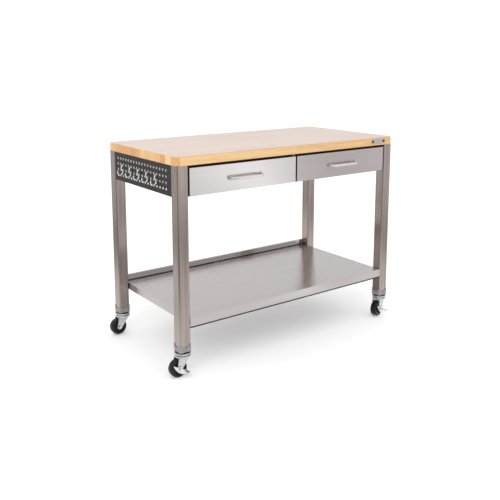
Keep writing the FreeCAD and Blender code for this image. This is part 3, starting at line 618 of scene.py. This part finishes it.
# how bright that floor looks: by distance from the middle, as a share of FLOOR_REACH, then by the
# side it lies on, in degrees from the front, positive to the right
FLOOR_BY_DISTANCE = ((0.0, 0.30), (0.07, 0.32), (0.13, 0.95), (0.17, 1.10), (0.22, 1.05), (0.29, 1.10),
                     (0.34, 0.95), (0.40, 0.72), (0.47, 0.64), (0.62, 0.85), (0.80, 0.95), (1.0, 0.95))
FLOOR_AROUND = ((-180, 0.95), (-166, 1.00), (-157, 1.00), (-151, 0.85), (-148, 0.55), (-143, 0.52),
                (-139, 0.90), (-133, 0.95), (-123, 0.95), (-112, 0.50), (-60, 0.38), (-10, 0.55), (10, 0.75),
                (18, 0.88), (26, 1.12), (32, 1.50), (37, 1.05), (41, 0.80), (45, 0.78), (50, 1.00),
                (56, 0.85), (100, 0.85), (180, 0.95))
FLOOR_PEAK = 1.5
FLOOR_REACH = 5.0
FLOOR_NEAR, FLOOR_FAR = 0.7, 1.7    # between these the sides take over from an even tone
FLOOR_EVEN = 0.71
DAYLIGHT = 1.12
# how bright the walls look in reflections: by the side they lie on, then from below to above
AROUND = ((-180, 1.0), (-156, 0.85), (-130, 0.9), (-90, 1.0), (-45, 0.95), (0, 0.8), (60, 0.85), (100, 0.88),
          (130, 0.88), (142, 0.92), (154, 0.95), (180, 1.0))
UPWARDS = ((0.0, 0.6), (0.45, 0.8), (0.55, 0.95), (0.7, 1.0), (1.0, 1.0))


def make_floor():
    bpy.ops.mesh.primitive_plane_add(size=FLOOR_SIZE, location=(0.0, 0.0, FLOOR_Z))
    floor = bpy.context.object
    floor.name = "studio_floor"
    g = Surface("studio_floor")
    speck = g.noise(g.position, scale=3.0, detail=3.0)
    g.set(Base_Color=g.mix(speck, (0.93, 0.93, 0.93), (0.95, 0.95, 0.95)), Roughness=0.9,
          Emission_Color=(1.0, 1.0, 1.0), Emission_Strength=0.15)
    floor.data.materials.append(g.material)
    floor.visible_glossy = False


def turn_share(degrees):
    """Where an angle from the front, positive to the right, lies on the ramp round the studio."""
    return (degrees + 180.0) / 360.0


def grey(value):
    return (value, value, value)


def greys(stops):
    return [(place, grey(value)) for place, value in stops]


def turn_round(g, x, y, stops, peak=1.0):
    """A grey for each direction from the middle of the cart, as a share of a peak."""
    turn = g.math("ARCTAN2", x, g.math("MULTIPLY", y, -1.0))
    shares = [(turn_share(degrees), value / peak) for degrees, value in stops]
    return g.ramp(g.remap(turn, -math.pi, math.pi, 0.0, 1.0), greys(shares))


def make_reflected_floor():
    """A floor that only reflections see: dark under the cart, bright beside it, uneven further out."""
    bpy.ops.mesh.primitive_circle_add(radius=CARD_R, vertices=96, fill_type="NGON",
                                      location=(0.0, 0.0, CARD_Z))
    card = bpy.context.object
    card.name = "reflected_floor"
    g = Surface("reflected_floor")
    x, y = g.axes(g.position)[:2]
    distance = g.add("ShaderNodeVectorMath", {0: g.position}, operation="LENGTH").outputs["Value"]
    near = g.ramp(g.math("DIVIDE", distance, FLOOR_REACH), greys(FLOOR_BY_DISTANCE))
    sides = turn_round(g, x, y, FLOOR_AROUND, FLOOR_PEAK)
    share = g.remap(distance, FLOOR_NEAR, FLOOR_FAR, 0.0, 1.0)
    light = g.mix(1.0, near, g.mix(share, grey(FLOOR_EVEN), sides), blend="MULTIPLY")
    g.set(Base_Color=(0.0, 0.0, 0.0), Roughness=1.0, Specular_IOR_Level=0.0, Emission_Color=light,
          Emission_Strength=FLOOR_PEAK)
    card.data.materials.append(g.material)
    card.visible_camera = False
    card.visible_diffuse = False
    card.visible_shadow = False
    card.visible_transmission = False


def make_camera():
    data = bpy.data.cameras.new("camera")
    data.lens = LENS_MM
    data.sensor_width = SENSOR_MM
    data.shift_y = SHIFT
    data.clip_end = 200.0
    camera = bpy.data.objects.new("camera", data)
    camera.location = CAMERA_AT
    camera.rotation_euler = (math.pi / 2 - CAMERA_DOWN, 0.0, -CAMERA_YAW)
    bpy.context.scene.collection.objects.link(camera)
    bpy.context.scene.camera = camera


def soft_box(name, at, size, power):
    """A square lamp that faces the middle of the cart."""
    data = bpy.data.lights.new(name, "AREA")
    data.shape = "SQUARE"
    data.size = size
    data.energy = power
    lamp = bpy.data.objects.new(name, data)
    lamp.location = at
    lamp.rotation_euler = (LAMP_AIM - Vector(at)).to_track_quat("-Z", "Y").to_euler()
    lamp.visible_glossy = False
    bpy.context.scene.collection.objects.link(lamp)


def make_world():
    """Even white light, and for reflections a studio with brighter and darker sides."""
    world = bpy.data.worlds.new("studio")
    bpy.context.scene.world = world
    g = Graph(world)
    direction = g.add("ShaderNodeTexCoord").outputs["Generated"]
    x, y, z = g.axes(direction)[:3]
    sides = turn_round(g, x, y, AROUND)
    lift = g.ramp(g.remap(z, -1.0, 1.0, 0.0, 1.0), greys(UPWARDS))
    studio = g.mix(1.0, sides, lift, blend="MULTIPLY")
    is_glossy = g.add("ShaderNodeLightPath").outputs["Is Glossy Ray"]
    colour = g.mix(is_glossy, grey(1.0), studio)
    strength = g.mix(is_glossy, grey(DAYLIGHT), grey(1.0))
    background = g.tree.nodes["Background"]
    g.put(background.inputs["Color"], g.mix(1.0, colour, strength, blend="MULTIPLY"))
    g.put(background.inputs["Strength"], 1.0)


def main():
    make_camera()
    materials = make_materials()
    paint_frame(materials)
    for name in CASTERS:
        make_wheel(name, materials)
        make_fork(name, materials)
    make_peg_rims(materials)
    make_shelf_dark_strip(materials)
    make_floor()
    make_reflected_floor()
    make_world()
    soft_box("left_light", (-3.2, -2.6, 3.0), size=2.6, power=45.0)
    bpy.context.scene.view_settings.view_transform = "Standard"


main()
